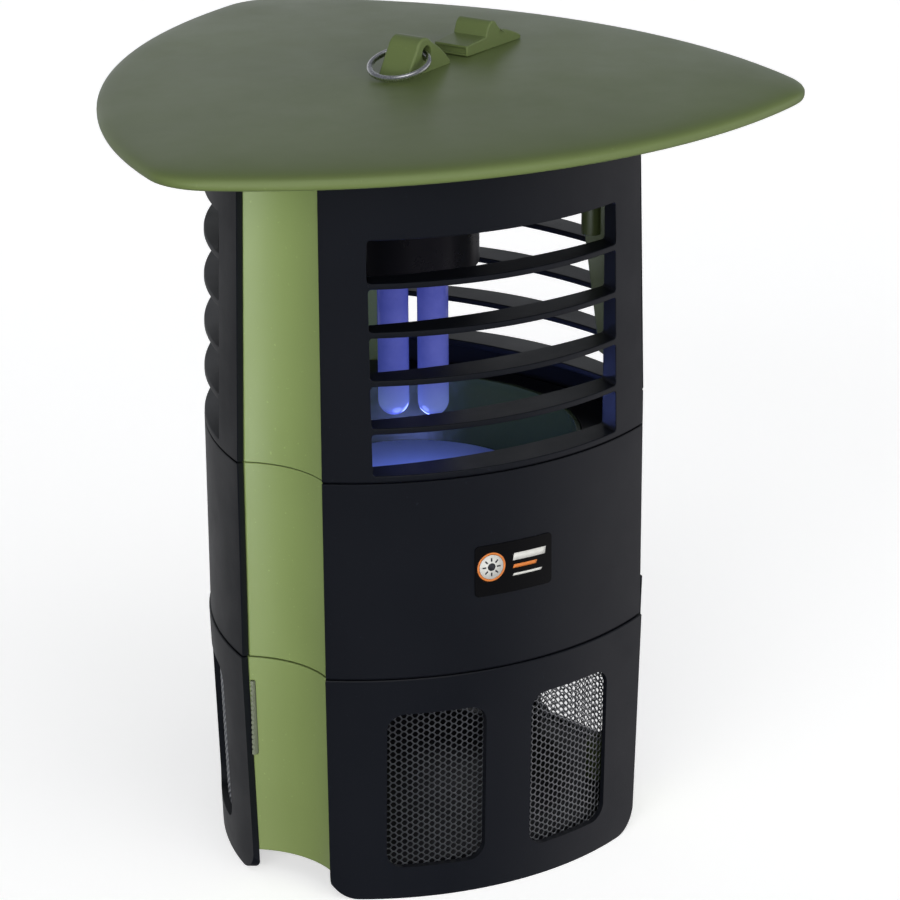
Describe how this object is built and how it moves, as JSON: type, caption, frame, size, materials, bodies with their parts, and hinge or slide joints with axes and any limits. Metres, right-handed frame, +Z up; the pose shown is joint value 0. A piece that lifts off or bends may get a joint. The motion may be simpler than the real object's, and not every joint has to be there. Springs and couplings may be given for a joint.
{
  "type": "electric insect trap",
  "caption": "Three-sided hanging mosquito trap: a UV lamp behind louvres draws insects to a fan that blows them into a lift-off mesh container.",
  "frame": {"origin": "on the central axis, on the plane that the container's floor and panels stand on", "axes": "+Z up along the central axis; -Y out of the front face with the nameplate; +X to the right as seen from the front"},
  "size_m": [0.256, 0.2572, 0.3106],
  "materials": {
    "green_plastic": "satin moulded",
    "black_plastic": "satin moulded",
    "grey_plastic": "serrated, matt",
    "steel_mesh": "expanded mesh",
    "zinc_steel": "zinc plated",
    "bright_steel": "polished wire",
    "lamp_glass": "phosphor-coated tube, lit",
    "white_plastic": "gloss",
    "ballast_case": "plated steel case",
    "black_rubber": "matt",
    "pale_disc": "satin pale coating",
    "motor_can": "drawn can",
    "nameplate_gloss": "gloss print"
  },
  "bodies": {
    "container": {"container_column_right": "green_plastic", "container_column_rear": "green_plastic", "container_column_left": "green_plastic", "container_collar": "black_plastic", "container_floor": "black_plastic", "container_panel_front": "black_plastic", "container_panel_rear_right": "black_plastic", "container_panel_rear_left": "black_plastic", "mesh_sheet_front": "steel_mesh", "mesh_sheet_rear_right": "steel_mesh", "mesh_sheet_rear_left": "steel_mesh", "floor_screws": "zinc_steel"},
    "head": {"roof_lid": "green_plastic", "hanging_lug": "green_plastic", "funnel": "green_plastic", "upper_column_right": "green_plastic", "upper_column_rear": "green_plastic", "upper_column_left": "green_plastic", "band_column_right": "green_plastic", "band_column_rear": "green_plastic", "band_column_left": "green_plastic", "top_deck": "black_plastic", "lamp_canopy": "black_plastic", "separator_plate": "black_plastic", "fan_plate": "black_plastic", "fan_duct": "black_plastic", "louvre_panel_front": "black_plastic", "louvre_panel_rear_right": "black_plastic", "louvre_panel_rear_left": "black_plastic", "band_panel_front": "black_plastic", "band_panel_rear_right": "black_plastic", "band_panel_rear_left": "black_plastic", "lug_screws": "zinc_steel", "roof_screws": "zinc_steel", "deck_screws": "zinc_steel", "separator_screws": "zinc_steel", "fan_plate_screws": "zinc_steel", "motor_screws": "zinc_steel", "lamp_tubes": "lamp_glass", "lamp_base": "white_plastic", "lamp_socket": "white_plastic", "ballast": "ballast_case", "terminal_block": "white_plastic", "inlet_grommet": "black_rubber", "attractant_disc": "pale_disc", "fan_motor": "motor_can", "nameplate": "nameplate_gloss"},
    "fan": {"fan_rotor": "black_plastic", "fan_shaft": "zinc_steel"},
    "ring": {"hanging_ring": "bright_steel"},
    "latch": {"lid_latch": "green_plastic"},
    "strip_right": {"release_strip_right": "grey_plastic"},
    "strip_rear": {"release_strip_rear": "grey_plastic"},
    "strip_left": {"release_strip_left": "grey_plastic"}
  },
  "joints": [
    {"name": "head_lift", "type": "slide", "parent": "container", "child": "head", "axis": [0, 0, 1], "range_m": [0, 0.12]},
    {"name": "fan_spin", "type": "hinge", "parent": "head", "child": "fan", "pos_m": [0, 0, 0.1176], "axis": [0, 0, 1], "continuous": true},
    {"name": "ring_swing", "type": "hinge", "parent": "head", "child": "ring", "pos_m": [0.00095, 0.00055, 0.3045], "axis": [-0.5446, 0.8387, 0], "range_deg": [0, 196]},
    {"name": "latch_slide", "type": "slide", "parent": "head", "child": "latch", "axis": [0.8658, 0.4999, -0.0235], "range_m": [0, 0.006]},
    {"name": "strip_press_right", "type": "slide", "parent": "container", "child": "strip_right", "axis": [-0.866, 0.5, 0], "range_m": [0, 0.0015], "stiffness_N_per_m": 300, "springref_m": -0.0005},
    {"name": "strip_press_rear", "type": "slide", "parent": "container", "child": "strip_rear", "axis": [0, -1, 0], "range_m": [0, 0.0015], "stiffness_N_per_m": 300, "springref_m": -0.0005},
    {"name": "strip_press_left", "type": "slide", "parent": "container", "child": "strip_left", "axis": [0.866, 0.5, 0], "range_m": [0, 0.0015], "stiffness_N_per_m": 300, "springref_m": -0.0005}
  ]
}
